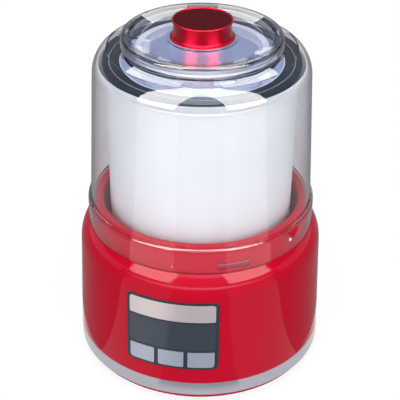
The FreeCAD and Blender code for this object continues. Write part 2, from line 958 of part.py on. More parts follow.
def build_panel_bezel():
    """Curved frame of the control panel, with pegs and pins for the circuit board."""
    body = new_piece("panel_bezel")
    extrude(body, "Pad", "XZ_Plane", (panel_near, panel_far), panel_outline(as_size(0)))
    trim_inside(body, as_size(0))
    plug = panel_outline(s.panel_overlap + s.fit_gap)
    extrude(body, "Pad", "XZ_Plane", (panel_near, panel_far), plug)
    trim_inside(body, -panel_bite)
    trim_outside(body, s.panel_proud)
    openings = [name_outline(), lens_outline()]
    openings += [key_outline(column, as_size(0)) for column in (-1, 0, 1)]
    extrude(body, "Pocket", "XZ_Plane", (control_front, panel_far), *openings)
    behind = wall_radius(peg_z) - panel_bite
    peg_end = root(behind * behind - peg_x * peg_x) + s.panel_depth
    pegs = [(peg_x * side, peg_z, s.peg_radius) for side in (-1, 1)]
    extrude(body, "Pad", "XZ_Plane", (control_front, peg_end), *pegs)
    pin_end = root(behind * behind - pin_x * pin_x) + s.panel_depth
    pins = [(pin_x * side, pin_z, s.pin_radius) for side in (-1, 1)]
    extrude(body, "Pad", "XZ_Plane", (control_back - s.pin_radius, pin_end), *pins)
    pilots = [(peg_x * side, peg_z, s.screw_radius - s.fit_gap) for side in (-1, 1)]
    extrude(body, "Pocket", "XZ_Plane", (control_front, control_front + s.board_bite), *pilots)


def build_panel_insert(label, outline):
    """A curved plate that fills one opening of the panel frame."""
    body = new_piece(label)
    extrude(body, "Pad", "XZ_Plane", (panel_near, panel_far), outline)
    trim_inside(body, s.panel_proud - s.lens_thickness)
    trim_outside(body, s.panel_proud)


def build_key(label, column):
    """A key that slides in the panel frame, held from falling out by its upper and lower lip."""
    body = new_piece(label)
    middle = key_pitch * column
    half = key_width / 2 - s.key_clearance
    lips = rectangle(middle - half, middle + half, key_low - s.key_lip, key_high + s.key_lip)
    extrude(body, "Pad", "XZ_Plane", (key_back, panel_far), lips)
    trim_outside(body, -panel_bite - s.key_clearance)
    cap = key_outline(column, s.key_clearance)
    extrude(body, "Pad", "XZ_Plane", (key_back, panel_far), cap)
    trim_outside(body, s.panel_proud + s.key_clearance)


def build_control_board():
    """Circuit board behind the panel, with its display and three key switches."""
    board = new_piece("control_board")
    sheet_outline = rectangle(
        -control_half_width, control_half_width, key_low, peg_z + s.control_head
    )
    holes = [(peg_x * side, peg_z, s.screw_radius) for side in (-1, 1)]
    holes += [(pin_x * side, pin_z, s.pin_radius + s.running_gap) for side in (-1, 1)]
    extrude(board, "Pad", "XZ_Plane", (control_back, control_front), sheet_outline, *holes)
    display = new_piece("lcd_module")
    glass = rectangle(
        -lcd_half_width, lcd_half_width, lens_low + s.lcd_edge, lens_high - s.lcd_edge
    )
    extrude(display, "Pad", "XZ_Plane", (control_front, control_front + s.lcd_depth), glass)
    switches = new_piece("key_switches")
    half = s.switch_width / 2
    tip = control_front + s.switch_height
    seats = [
        rectangle(key_pitch * column - half, key_pitch * column + half, pin_z - half, pin_z + half)
        for column in (-1, 0, 1)
    ]
    plungers = [(key_pitch * column, pin_z, s.plunger_radius) for column in (-1, 0, 1)]
    extrude(switches, "Pad", "XZ_Plane", (control_front, tip - s.plunger_height), *seats)
    extrude(switches, "Pad", "XZ_Plane", (tip - s.plunger_height, tip), *plungers)
    places = [(peg_x * side, peg_z) for side in (-1, 1)]
    radius = s.screw_radius - s.fit_gap - s.running_gap
    end = control_front + s.board_bite - s.fit_gap
    head = control_back - s.screw_head_height
    head_radius = s.screw_head_radius
    screws("board_screws", places, "XZ_Plane", control_back, head, end, radius, head_radius)


def build_chassis():
    """Steel plate under the gears, hung from the housing's posts."""
    body = new_piece("gear_chassis")
    half = post_side + s.chassis_margin
    front = -post_front - s.chassis_margin
    back = post_back + s.chassis_margin
    corner = s.chassis_corner
    outline = rounded(-half, half, front, back, corner, corner, corner)
    holes = circles(posts, screw_hole)
    holes.append((0, 0, bush_radius))
    holes.append((0, idler_y, s.axle_radius))
    holes.append((motor_x, motor_y, motor_bush_radius))
    holes += [(motor_x + x, motor_y + y, screw_hole) for x, y in motor_screw_places]
    extrude(body, "Pad", "XY_Plane", (chassis_z, chassis_top), outline, *holes)
    tip = chassis_top + s.screw_bite
    head = chassis_z - s.screw_head_height
    radii = (s.screw_radius, s.screw_head_radius)
    screws("chassis_screws", posts, "XY_Plane", chassis_z, head, tip, *radii)


def build_bushes():
    """Bronze bushes that carry the drive spindle."""
    flanged_bush(
        "lower_bush", bush_bore, bush_radius, bush_flange,
        chassis_z - s.bush_wall, chassis_top, lower_bush_top,
    )
    flanged_bush(
        "upper_bush", bush_bore, bush_radius, bush_flange, hub_z, well_floor, upper_bush_top
    )


def build_spindle():
    """Drive spindle with the clip that holds it down and the six-sided coupling."""
    clip_top = chassis_z - s.bush_wall - s.end_play
    spindle_z = clip_top - s.spindle_tail
    spindle_top = socket_top - s.end_play
    spindle = new_piece("drive_spindle")
    extrude(spindle, "Pad", "XY_Plane", (spindle_z, spindle_top), (0, 0, s.spindle_radius))
    clip_radius = s.spindle_radius + s.clip_width
    tube("spindle_clip", s.spindle_radius, clip_radius, clip_top - s.clip_height, clip_top)
    coupling = new_piece("drive_coupling")
    low = upper_bush_top + s.coupling_gap
    hexagon = hexagon_outline(s.coupling_flat)
    extrude(coupling, "Pad", "XY_Plane", (low, socket_top), hexagon)
    extrude(coupling, "Pocket", "XY_Plane", (low, spindle_top), (0, 0, s.spindle_radius))


def hexagon_outline(flat):
    """Six corners round a circle of the flats' distance."""
    reach = flat / math.cos(math.pi / HEXAGON)
    return ring(reach, HEXAGON, 0)


def involute(angle):
    """Involute function of an angle."""
    return math.tan(angle) - angle


def gear_outline(teeth, module, phase):
    """Corners of a spur gear with straight-sided steps along each involute flank."""
    pitch = module * teeth / 2
    base = pitch * math.cos(PRESSURE_ANGLE)
    tip = pitch + module
    foot = pitch - module * TOOTH_DEPTH
    start = max(base, foot)
    half = math.pi / (2 * teeth) - TOOTH_PLAY / (2 * pitch) + involute(PRESSURE_ANGLE)
    radii = [start + (tip - start) * step / FLANK_STEPS for step in range(FLANK_STEPS + 1)]
    flank = [(radius, half - involute(math.acos(base / radius))) for radius in radii]
    if foot < base:
        flank.insert(0, (foot, flank[0][1]))
    corners = []
    for tooth in range(teeth):
        middle = phase + 2 * math.pi * tooth / teeth
        corners += [(radius, middle - angle) for radius, angle in flank]
        corners += [(radius, middle + angle) for radius, angle in reversed(flank)]
    return [FreeCAD.Vector(r * math.cos(a), r * math.sin(a), 0) for r, a in corners]


def gear_solid(teeth, module, phase, low, high):
    """A spur gear blank on the Z axis between two heights."""
    corners = gear_outline(teeth, module.value, phase)
    face = Part.Face(Part.makePolygon(corners + corners[:1]))
    face.translate(FreeCAD.Vector(0, 0, low.value))
    return face.extrude(FreeCAD.Vector(0, 0, high.value - low.value))


def rod(radius, low, high):
    """A plain cylinder on the Z axis."""
    base = FreeCAD.Vector(0, 0, low.value)
    return Part.makeCylinder(radius.value, high.value - low.value, base)


def new_gear(label, solid, x, y):
    """Add a toothed sub-part whose outline comes from a formula."""
    piece = document.addObject("Part::Feature", label)
    piece.Label = label
    piece.Shape = solid
    bind(piece, "Placement.Base.x", x)
    bind(piece, "Placement.Base.y", y)
    pieces.append(piece)


def build_gears():
    """Two-stage reduction: motor pinion, compound idler and the bowl's output gear."""
    ahead = math.pi / 2
    behind = ahead + math.pi
    hub_low = lower_bush_top + s.end_play
    output = gear_solid(OUTPUT_TEETH, s.output_module, ahead, output_z, gear_top)
    recess_outer = s.output_module * (OUTPUT_TEETH / 2 - WEB_MODULES)
    recess = rod(recess_outer, output_z, output_z + s.web_recess)
    output = output.cut(recess).fuse(rod(s.gear_hub_radius, hub_low, gear_top))
    output = output.cut(rod(s.spindle_radius, hub_low, gear_top)).removeSplitter()
    new_gear("output_gear", output, as_size(0), as_size(0))
    # The idler's small teeth meet a tooth of the output gear, so a gap faces that tooth
    idler_low = chassis_top + s.end_play
    small_phase = behind + math.pi / PINION_TEETH
    small_low = output_z - s.gear_spare
    motor_way = math.radians(s.motor_angle.value)
    small = gear_solid(PINION_TEETH, s.output_module, small_phase, small_low, gear_top)
    large = gear_solid(IDLER_TEETH, s.idler_module, motor_way, idler_gear_z, idler_gear_top)
    hub = rod(s.axle_radius + s.idler_hub_wall, idler_low, gear_top)
    idler = large.fuse(hub).fuse(small)
    idler = idler.cut(rod(s.axle_radius + s.running_gap, idler_low, gear_top)).removeSplitter()
    new_gear("idler_gear", idler, as_size(0), idler_y)
    pinion_phase = motor_way + math.pi + math.pi / PINION_TEETH
    pinion = gear_solid(PINION_TEETH, s.idler_module, pinion_phase, pinion_z, pinion_top)
    pinion = pinion.cut(rod(s.motor_shaft_radius, pinion_z, pinion_top))
    new_gear("motor_pinion", pinion, motor_x, motor_y)


def build_idler_axle():
    """Fixed pin between the chassis and the well's floor, with the idler's clip."""
    axle = new_piece("idler_axle")
    extrude(axle, "Pad", "XY_Plane", (chassis_z, well_under), (0, 0, s.axle_radius))
    place(axle, 0, idler_y)
    clip_z = gear_top + s.end_play
    clip_radius = s.axle_radius + s.clip_width
    clip = tube("idler_clip", s.axle_radius, clip_radius, clip_z, clip_z + s.clip_height)
    place(clip, 0, idler_y)


def build_motor():
    """Small brushed motor hung under the chassis."""
    can = new_piece("motor_can")
    outline = [
        (motor_bush_radius, motor_top),
        (motor_bush_radius, motor_top - s.motor_wall),
        (motor_bore, motor_top - s.motor_wall),
        (motor_bore, motor_z),
        (s.motor_radius, motor_z),
        (s.motor_radius, motor_top),
    ]
    spin(can, "Revolution", outline)
    holes = circles(motor_screw_places, screw_hole)
    extrude(can, "Pocket", "XY_Plane", (motor_top - s.motor_wall, motor_top), *holes)
    bush = tube(
        "motor_front_bush", shaft_bore, motor_bush_radius, motor_top - s.bush_wall, chassis_top
    )
    cap = new_piece("motor_end_cap")
    brush_z = motor_z + s.commutator_length / 2
    holder = motor_bore - s.magnet_thickness - s.air_gap
    cap_outline = [
        (shaft_bore, motor_z - s.end_cap_height),
        (s.motor_radius, motor_z - s.end_cap_height),
        (s.motor_radius, motor_z),
        (motor_bore, motor_z),
        (motor_bore, brush_z + s.commutator_length),
        (holder, brush_z + s.commutator_length),
        (holder, motor_z),
        (shaft_bore, motor_z),
    ]
    spin(cap, "Revolution", cap_outline)
    brushes = new_piece("motor_brushes")
    half = s.commutator_length / 2
    bars = [
        rectangle(s.commutator_radius + s.running_gap, holder - s.air_gap, -half, half),
        rectangle(s.air_gap - holder, -s.running_gap - s.commutator_radius, -half, half),
    ]
    extrude(brushes, "Pad", "XY_Plane", (motor_z, brush_z + half), *bars)
    magnets = new_piece("motor_magnets")
    magnet_z = motor_z + s.magnet_margin + s.motor_wall
    magnet_top = motor_top - s.magnet_margin + s.motor_wall
    arc = rectangle(motor_bore - s.magnet_thickness, motor_bore, magnet_z, magnet_top)
    repeat(magnets, spin(magnets, "Revolution", arc, s.magnet_angle), MAGNETS)
    for body in (can, bush, cap, brushes, magnets):
        place(body, motor_x, motor_y)
    places = [(motor_x + x, motor_y + y) for x, y in motor_screw_places]
    tip = motor_top - s.motor_wall
    head = chassis_top + s.screw_head_height
    radii = (s.screw_radius, s.screw_head_radius)
    screws("motor_screws", places, "XY_Plane", chassis_top, head, tip, *radii)


def build_rotor():
    """Turning part of the motor."""
    shaft = new_piece("motor_shaft")
    low = motor_z - s.end_cap_height
    bore = (0, 0, s.motor_shaft_radius)
    extrude(shaft, "Pad", "XY_Plane", (low, pinion_top), bore)
    core = new_piece("armature_core")
    extrude(core, "Pad", "XY_Plane", (core_z, core_top), (0, 0, core_radius), bore)
    slot_foot = core_radius - s.slot_depth
    slot_half = s.slot_width / 2
    slot = rectangle(slot_foot, core_radius + s.slot_depth, -slot_half, slot_half)
    repeat(core, extrude(core, "Pocket", "XY_Plane", (core_z, core_top), slot), SLOTS)
    winding = new_piece("armature_winding")
    coil_radius = core_radius - s.air_gap
    ends = [(0, 0, coil_radius), bore]
    extrude(winding, "Pad", "XY_Plane", (winding_z, core_z), *ends)
    coil = rectangle(slot_foot, coil_radius - s.air_gap, -slot_half, slot_half)
    repeat(winding, extrude(winding, "Pad", "XY_Plane", (core_z, core_top), coil), SLOTS)
    extrude(winding, "Pad", "XY_Plane", (core_top, winding_top), *ends)
    commutator = tube(
        "commutator", s.motor_shaft_radius, s.commutator_radius,
        motor_z + s.end_play, winding_z,
    )
    for body in (shaft, core, winding, commutator):
        place(body, motor_x, motor_y)


def build_power_supply():
    """Supply board on the bottom plate, with its transformer and capacitors."""
    board = new_piece("power_board")
    outline = rectangle(
        supply_x - s.supply_half_width,
        supply_x + s.supply_half_width,
        s.supply_y - s.supply_half_length,
        s.supply_y + s.supply_half_length,
    )
    holes = circles(supply_corners, screw_hole)
    extrude(board, "Pad", "XY_Plane", (supply_z, supply_top), outline, *holes)
    tip = floor_z + s.fit_gap
    head = supply_top + s.screw_head_height
    radii = (s.screw_radius, s.standoff_radius)
    screws("supply_screws", supply_corners, "XY_Plane", supply_top, head, tip, *radii)
    core = new_piece("transformer_core")
    half = s.core_width / 2
    window_low = supply_top + s.core_leg
    window_high = supply_top + s.core_height - s.core_leg
    front = -s.transformer_y + s.core_depth / 2
    frame = rectangle(supply_x - half, supply_x + half, supply_top, supply_top + s.core_height)
    windows = [
        rectangle(supply_x + near, supply_x + far, window_low, window_high)
        for near, far in ((s.core_leg - half, -s.core_leg), (s.core_leg, half - s.core_leg))
    ]
    extrude(core, "Pad", "XZ_Plane", (front - s.core_depth, front), frame, *windows)
    winding = new_piece("transformer_winding")
    reach = half - s.core_leg
    deep = s.core_depth / 2
    outer = deep + s.winding_bulge
    coil = rectangle(
        supply_x - reach, supply_x + reach, s.transformer_y - outer, s.transformer_y + outer
    )
    leg = rectangle(
        supply_x - s.core_leg,
        supply_x + s.core_leg,
        s.transformer_y - deep,
        s.transformer_y + deep,
    )
    extrude(winding, "Pad", "XY_Plane", (window_low, window_high), coil, leg)
    capacitors = new_piece("filter_capacitors")
    cans = [
        (supply_x + s.capacitor_offset * side, s.capacitor_y, s.capacitor_radius)
        for side in (-1, 1)
    ]
    extrude(capacitors, "Pad", "XY_Plane", (supply_top, supply_top + s.capacitor_height), *cans)


def build_bowl():
    """Double-walled freezer bowl with its coolant, drive socket and dark rim."""
    shell = new_piece("bowl_shell")
    inner_round = s.bowl_round - s.shell_thickness
    flat_radius = s.bowl_foot_radius - s.bowl_round
    outline = [
        (s.socket_radius, bowl_z),
        (flat_radius, bowl_z),
        (s.bowl_foot_radius, shell_round_z, s.bowl_round, LEFT),
        (bowl_top_radius, shell_top),
        (shell_inner(shell_top), shell_top),
        (shell_inner(shell_round_z), shell_round_z),
        (flat_radius, shell_floor, inner_round, RIGHT),
        (s.socket_radius, shell_floor),
    ]
    spin(shell, "Revolution", outline)
    liner = new_piece("bowl_liner")
    outer_round = s.liner_round + s.liner_thickness
    liner_flat = liner_foot_radius - s.liner_round
    flange_under = shell_top - s.liner_thickness
    flange_edge = shell_inner(flange_under)
    liner_outline = [
        (0, liner_under),
        (liner_flat, liner_under),
        (liner_inner(liner_round_z) + s.liner_thickness, liner_round_z, outer_round, LEFT),
        (liner_inner(flange_under) + s.liner_thickness, flange_under),
        (flange_edge, flange_under),
        (flange_edge, shell_top),
        (liner_top_radius, shell_top),
        (liner_foot_radius, liner_round_z),
        (liner_flat, liner_z, s.liner_round, RIGHT),
        (0, liner_z),
    ]
    spin(liner, "Revolution", liner_outline)
    coolant = new_piece("coolant_fill")
    coolant_outline = [
        (s.socket_radius, shell_floor),
        (flat_radius, shell_floor),
        (shell_inner(shell_round_z), shell_round_z, inner_round, LEFT),
        (shell_inner(fill_z), fill_z),
        (liner_inner(fill_z) + s.liner_thickness, fill_z),
        (liner_inner(liner_round_z) + s.liner_thickness, liner_round_z),
        (liner_flat, liner_under, outer_round, RIGHT),
        (0, liner_under),
        (0, socket_cap),
        (s.socket_radius, socket_cap),
    ]
    spin(coolant, "Revolution", coolant_outline)
    socket = new_piece("bowl_socket")
    extrude(socket, "Pad", "XY_Plane", (bowl_z, socket_cap), (0, 0, s.socket_radius))
    opening = hexagon_outline(s.coupling_flat + s.fit_gap)
    extrude(socket, "Pocket", "XY_Plane", (bowl_z, socket_top), opening)
    rim = new_piece("bowl_rim")
    step_outer = rim_radius - s.rim_band
    rim_outline = [
        (liner_top_radius, shell_top),
        (rim_radius, shell_top),
        (rim_radius, rim_top - s.rim_round),
        (rim_radius - s.rim_round, rim_top, s.rim_round, LEFT),
        (step_outer, rim_top),
        (step_outer - s.rim_step, rim_top - s.rim_step),
        (liner_top_radius + s.rim_round, rim_top - s.rim_step),
        (liner_top_radius, rim_top - s.rim_step - s.rim_round, s.rim_round, LEFT),
    ]
    spin(rim, "Revolution", rim_outline)


def build_cover():
    """Clear cover: skirt, stepped wall, round shoulder, crown and filler neck."""
    body = new_piece("clear_cover")
    inner_shoulder = s.cover_shoulder - s.cover_thickness
    outline = [
        (skirt_inner, ledge_z),
        (skirt_radius, ledge_z),
        (skirt_radius, skirt_top),
        (cover_foot_radius, cover_wall_z, step_radius, LEFT),
        (cover_top_radius, cover_shoulder_z),
        (crease_radius, crease_z, s.cover_shoulder, LEFT),
        (crown_radius, crown_z),
        (neck_radius, crown_z),
        (neck_radius, neck_top),
        (neck_inner, neck_top),
        (neck_inner, flange_top),
        (flange_radius, flange_top),
        (flange_radius, flange_z),
        (neck_radius, flange_z),
        (neck_radius, crown_z - s.cover_thickness),
        (crown_radius, crown_z - s.cover_thickness),
        (
            cover_axis + crease_span * cover_inner_share,
            cover_shoulder_z + crease_rise * cover_inner_share,
        ),
        (cover_top_radius - s.cover_thickness, cover_shoulder_z, inner_shoulder, RIGHT),
        (cover_foot_radius - s.cover_thickness, skirt_top),
        (skirt_inner, skirt_top - step_radius),
    ]
    spin(body, "Revolution", outline)
    lug_z = ledge_z + s.lug_lift
    lug = rectangle(
        -skirt_inner - s.cover_thickness / 2,
        s.lug_depth - skirt_inner,
        lug_z,
        lug_z + s.lug_height,
    )
    repeat(body, spin(body, "Revolution", lug, s.lug_angle), LUGS)
    notch = rectangle(-neck_inner, s.paddle_gap - flange_radius, flange_z, flange_top)
    repeat(body, spin(body, "Groove", notch, s.notch_angle), TABS)


def build_paddle():
    """Still paddle: a ring hung in the cover's neck and a framed blade in the bowl."""
    body = new_piece("mixing_paddle")
    hoop = [
        (paddle_ring_inner, paddle_ring_z),
        (paddle_ring_radius, paddle_ring_z),
        (paddle_ring_radius, paddle_top),
        (paddle_ring_inner, paddle_top),
    ]
    spin(body, "Revolution", hoop)
    middle = (paddle_ring_radius + paddle_ring_inner) / 2
    tab = rectangle(middle, neck_inner - s.paddle_gap, flange_top, paddle_top)
    repeat(body, spin(body, "Revolution", tab, s.tab_angle), TABS)
    foot_z = liner_z + s.paddle_floor_gap
    flat = liner_foot_radius - s.liner_round
    blade_low = liner_inner(liner_round_z) - s.paddle_side_gap
    blade_high_z = fill_z
    blade_high = liner_inner(blade_high_z) - s.paddle_side_gap
    arm_outer = middle + s.paddle_gap
    arm_inner = arm_outer - s.arm_width
    bar_z = (liner_round_z + blade_high_z) / 2
    bar_top = bar_z + s.cross_bar
    window_low = foot_z + s.cross_bar
    low_inner = blade_low - s.blade_width
    high_inner = blade_high - s.blade_width
    half = [
        (flat, foot_z),
        (blade_low, liner_round_z),
        (blade_high, blade_high_z),
        (arm_outer, shell_top),
        (arm_outer, paddle_top),
        (arm_inner, paddle_top),
        (arm_inner, shell_top),
        (high_inner, blade_high_z),
        (high_inner, bar_top),
    ]
    frame = half + [(-x, z) for x, z in reversed(half)]
    window = [
        (low_inner, window_low),
        (low_inner, bar_z),
        (-low_inner, bar_z),
        (-low_inner, window_low),
    ]
    thick = s.paddle_thickness / 2
    extrude(body, "Pad", "XZ_Plane", (-thick, thick), frame, window)


def build_lid():
    """Clear lid with its red knob and the screw that holds the knob."""
    lid = new_piece("filler_lid")
    ring_inner = knob_foot_radius + s.knob_ring_gap
    ring_outer = ring_inner + s.knob_ring_width
    ring_top = dish_z + s.knob_ring_height
    plug_ceiling = dish_under + (plug_inner - dish_radius) * dish_slope
    outline = [
        (screw_hole, dish_under),
        (dish_radius, dish_under),
        (plug_inner, plug_ceiling),
        (plug_inner, crown_z + s.plug_lift),
        (plug_outer, crown_z + s.plug_lift),
        (plug_outer, lid_ceiling),
        (lid_radius - s.lid_inset - s.lid_thickness, lid_ceiling),
        (lid_radius - s.lid_thickness, crown_z),
        (lid_radius, crown_z),
        (lid_radius - s.lid_inset, lid_edge_z),
        (lid_rim_radius, lid_top, s.lid_round, LEFT),
        (lid_rim_inner, lid_top),
        (dish_radius, dish_z),
        (ring_outer, dish_z),
        (ring_outer, ring_top),
        (ring_inner, ring_top),
        (ring_inner, dish_z),
        (screw_hole, dish_z),
    ]
    spin(lid, "Revolution", outline)
    knob = new_piece("lid_knob")
    foot_top = dish_z + s.knob_foot_height
    foot_curve = knob_foot_radius - s.knob_waist
    head_z = knob_top - s.knob_head_height
    head_curve = knob_radius - s.knob_waist
    face = knob_radius - s.knob_face_inset
    knob_outline = [
        (screw_hole, dish_z),
        (knob_foot_radius, dish_z),
        (knob_foot_radius, foot_top),
        (s.knob_waist, foot_top + foot_curve, foot_curve, RIGHT),
        (s.knob_waist, head_z - head_curve),
        (knob_radius, head_z, head_curve, RIGHT),
        (knob_radius, knob_top - s.knob_edge),
        (knob_radius - s.knob_edge, knob_top, s.knob_edge, LEFT),
        (face, knob_top),
        (face - s.knob_dish, knob_top - s.knob_dish),
        (0, knob_top - s.knob_dish),
        (0, knob_bore_top),
        (screw_hole, knob_bore_top),
    ]
    spin(knob, "Revolution", knob_outline)
    head = dish_under - s.screw_head_height
    tip = knob_bore_top - s.fit_gap
    radii = (s.screw_radius, s.screw_head_radius)
    screws("knob_screw", [(0, 0)], "XY_Plane", dish_under, head, tip, *radii)


def check_pieces():
    """Stop if anything in the document failed."""
    for item in document.Objects:
        if "Invalid" in item.State or "Error" in item.State:
            raise RuntimeError(f"{item.Name} failed: {item.State}")
    for piece in pieces:
        if piece.Shape.isNull() or not piece.Shape.isValid():
            raise RuntimeError(f"{piece.Label} has no valid shape")


def write_pieces():
    """Write one file for each sub-part."""
    os.makedirs("parts", exist_ok=True)
    for piece in pieces:
        piece.Shape.exportStep(f"parts/{piece.Label}.step")


build_feet()
build_base_plate()
screws(
    "plate_screws", bosses, "XY_Plane", plate_z + s.screw_head_height, plate_z,
    floor_z + s.screw_bite, s.screw_radius, s.screw_head_radius,
)
build_trim_band()
build_housing()
build_cord_inlet()
build_panel_bezel()
build_panel_insert("name_plate", name_outline())
build_panel_insert("display_window", lens_outline())
build_key("left_key", -1)
build_key("middle_key", 0)
build_key("right_key", 1)
build_control_board()
build_chassis()
build_bushes()
build_spindle()
build_gears()
build_idler_axle()
build_motor()
build_rotor()
build_power_supply()
build_bowl()
build_cover()
build_paddle()
build_lid()
document.recompute()
check_pieces()
write_pieces()
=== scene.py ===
import json
import math

import bpy
from mathutils import Matrix, Vector


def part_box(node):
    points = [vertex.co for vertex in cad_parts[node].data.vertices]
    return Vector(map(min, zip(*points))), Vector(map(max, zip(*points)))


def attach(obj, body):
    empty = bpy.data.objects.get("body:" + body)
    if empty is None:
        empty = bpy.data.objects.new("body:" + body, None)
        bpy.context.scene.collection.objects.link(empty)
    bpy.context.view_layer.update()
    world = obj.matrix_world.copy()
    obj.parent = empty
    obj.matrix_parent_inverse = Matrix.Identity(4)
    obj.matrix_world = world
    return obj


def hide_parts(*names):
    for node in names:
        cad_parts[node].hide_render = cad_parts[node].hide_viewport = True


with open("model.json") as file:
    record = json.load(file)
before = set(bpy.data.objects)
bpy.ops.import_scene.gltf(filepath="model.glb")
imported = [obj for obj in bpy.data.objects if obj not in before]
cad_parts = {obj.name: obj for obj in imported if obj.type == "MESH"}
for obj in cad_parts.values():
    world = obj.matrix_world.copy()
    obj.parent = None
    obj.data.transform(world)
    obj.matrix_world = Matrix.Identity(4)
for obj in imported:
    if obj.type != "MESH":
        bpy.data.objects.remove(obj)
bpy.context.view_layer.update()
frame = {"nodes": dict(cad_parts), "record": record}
scene = bpy.context.scene
scene.view_settings.view_transform = "Standard"

# The camera, in metres and radians, with its lens and sensor in millimetres. Its azimuth runs
# from -Y towards +X.
CAMERA_AZIMUTH = math.radians(12.87)
CAMERA_PITCH = 0.54336
CAMERA_ROLL = 0.010588
CAMERA_DISTANCE = 0.93102
CAMERA_HEIGHT = 0.70026
CAMERA_SIDE = -0.000537
CAMERA_LENS = 112.5
CAMERA_SENSOR = 36

RIGHT = Vector((math.cos(CAMERA_AZIMUTH), math.sin(CAMERA_AZIMUTH), 0))
AHEAD = Vector((-math.sin(CAMERA_AZIMUTH), math.cos(CAMERA_AZIMUTH), 0))
UP = Vector((0, 0, 1))


def spaced(start, end, parts):
    """Numbers from start to end at equal distances."""
    return [start + (end - start) * part / parts for part in range(parts + 1)]


def add_object(name, data):
    """A new object in the scene."""
    item = bpy.data.objects.new(name, data)
    scene.collection.objects.link(item)
    return item


def add_camera():
    """The photograph's viewpoint, with its slight roll."""
    data = bpy.data.cameras.new("camera")
    data.lens = CAMERA_LENS
    data.sensor_width = CAMERA_SENSOR
    camera = add_object("camera", data)
    scene.camera = camera
    forward = AHEAD * math.cos(CAMERA_PITCH) - UP * math.sin(CAMERA_PITCH)
    level_up = AHEAD * math.sin(CAMERA_PITCH) + UP * math.cos(CAMERA_PITCH)
    right = RIGHT * math.cos(CAMERA_ROLL) + level_up * math.sin(CAMERA_ROLL)
    up = level_up * math.cos(CAMERA_ROLL) - RIGHT * math.sin(CAMERA_ROLL)
    place = RIGHT * CAMERA_SIDE - AHEAD * CAMERA_DISTANCE + UP * CAMERA_HEIGHT
    turned_view = Matrix((right, up, -forward)).transposed().to_4x4()
    camera.matrix_world = Matrix.Translation(place) @ turned_view


# Materials

# Noise textures mostly lie between these values.
NOISE_LOW, NOISE_HIGH = 0.3, 0.7

# The Mix node's sockets for colours.
MIX_FACTOR, MIX_FIRST, MIX_SECOND = 0, 6, 7
MIX_RESULT = 2


def srgb(colour):
    """A colour written as 0 to 255, as shaders take it."""
    parts = [value / 255 for value in colour]
    linear = [p / 12.92 if p <= 0.04045 else ((p + 0.055) / 1.055) ** 2.4 for p in parts]
    return (*linear, 1.0)


class Finish:
    """A Principled material with detail from procedural textures, measured in metres.

    The surface's colours are written as 0 to 255, and those of light that passes through as
    linear shares. The sockets' names have _ for each space.
    """

    def __init__(self, name, colour, **sockets):
        self.material = bpy.data.materials.new(name)
        self.material.use_nodes = True
        self.tree = self.material.node_tree
        self.shader = self.tree.nodes["Principled BSDF"]
        self.colour = srgb(colour)
        self.shader.inputs["Base Color"].default_value = self.colour
        for socket, value in sockets.items():
            self.shader.inputs[socket.replace("_", " ")].default_value = value
        self.place = self.tree.nodes.new("ShaderNodeTexCoord").outputs["Object"]

    def noise(self, scale, stretch=(1, 1, 1), detail=3.0):
        """Noise whose features are about 1 / scale metres, finer along an axis by its stretch."""
        mapping = self.tree.nodes.new("ShaderNodeMapping")
        mapping.inputs["Scale"].default_value = stretch
        self.tree.links.new(self.place, mapping.inputs["Vector"])
        texture = self.tree.nodes.new("ShaderNodeTexNoise")
        texture.inputs["Scale"].default_value = scale
        texture.inputs["Detail"].default_value = detail
        self.tree.links.new(mapping.outputs["Vector"], texture.inputs["Vector"])
        return texture.outputs["Fac"]

    def spread(self, noise, low, high):
        """Map noise to the range from low to high."""
        node = self.tree.nodes.new("ShaderNodeMapRange")
        node.inputs["From Min"].default_value = NOISE_LOW
        node.inputs["From Max"].default_value = NOISE_HIGH
        node.inputs["To Min"].default_value = low
        node.inputs["To Max"].default_value = high
        self.tree.links.new(noise, node.inputs["Value"])
        return node.outputs["Result"]

    def tint(self, noise, other):
        """Vary the colour between the base and another."""
        mix = self.tree.nodes.new("ShaderNodeMix")
        mix.data_type = "RGBA"
        mix.inputs[MIX_FIRST].default_value = self.colour
        mix.inputs[MIX_SECOND].default_value = srgb(other)
        self.tree.links.new(self.spread(noise, 0, 1), mix.inputs[MIX_FACTOR])
        self.tree.links.new(mix.outputs[MIX_RESULT], self.shader.inputs["Base Color"])
        return self

    def roughen(self, noise, low, high):
        """Vary the roughness."""
        value = self.spread(noise, low, high)
        self.tree.links.new(value, self.shader.inputs["Roughness"])
        return self

    def bump(self, noise, strength, depth):
        """Raise the surface by noise, to a depth in metres."""
        node = self.tree.nodes.new("ShaderNodeBump")
        node.inputs["Strength"].default_value = strength
        node.inputs["Distance"].default_value = depth
        self.tree.links.new(noise, node.inputs["Height"])
        self.tree.links.new(node.outputs["Normal"], self.shader.inputs["Normal"])
        return self

    def absorb(self, colour, density):
        """Take light away by the length of its path inside the plastic, in metres."""
        volume = self.tree.nodes.new("ShaderNodeVolumeAbsorption")
        volume.inputs["Color"].default_value = colour
        volume.inputs["Density"].default_value = density
        output = self.tree.nodes["Material Output"]
        self.tree.links.new(volume.outputs[0], output.inputs["Volume"])
        return self

    def pass_lamps(self, colour):
        """Let light from lamps through, tinted by a colour."""
        clear = self.tree.nodes.new("ShaderNodeBsdfTransparent")
        clear.inputs["Color"].default_value = colour
        path = self.tree.nodes.new("ShaderNodeLightPath")
        mix = self.tree.nodes.new("ShaderNodeMixShader")
        output = self.tree.nodes["Material Output"]
        self.tree.links.new(path.outputs["Is Shadow Ray"], mix.inputs[0])
        self.tree.links.new(self.shader.outputs[0], mix.inputs[1])
        self.tree.links.new(clear.outputs[0], mix.inputs[2])
        self.tree.links.new(mix.outputs[0], output.inputs["Surface"])
        return self


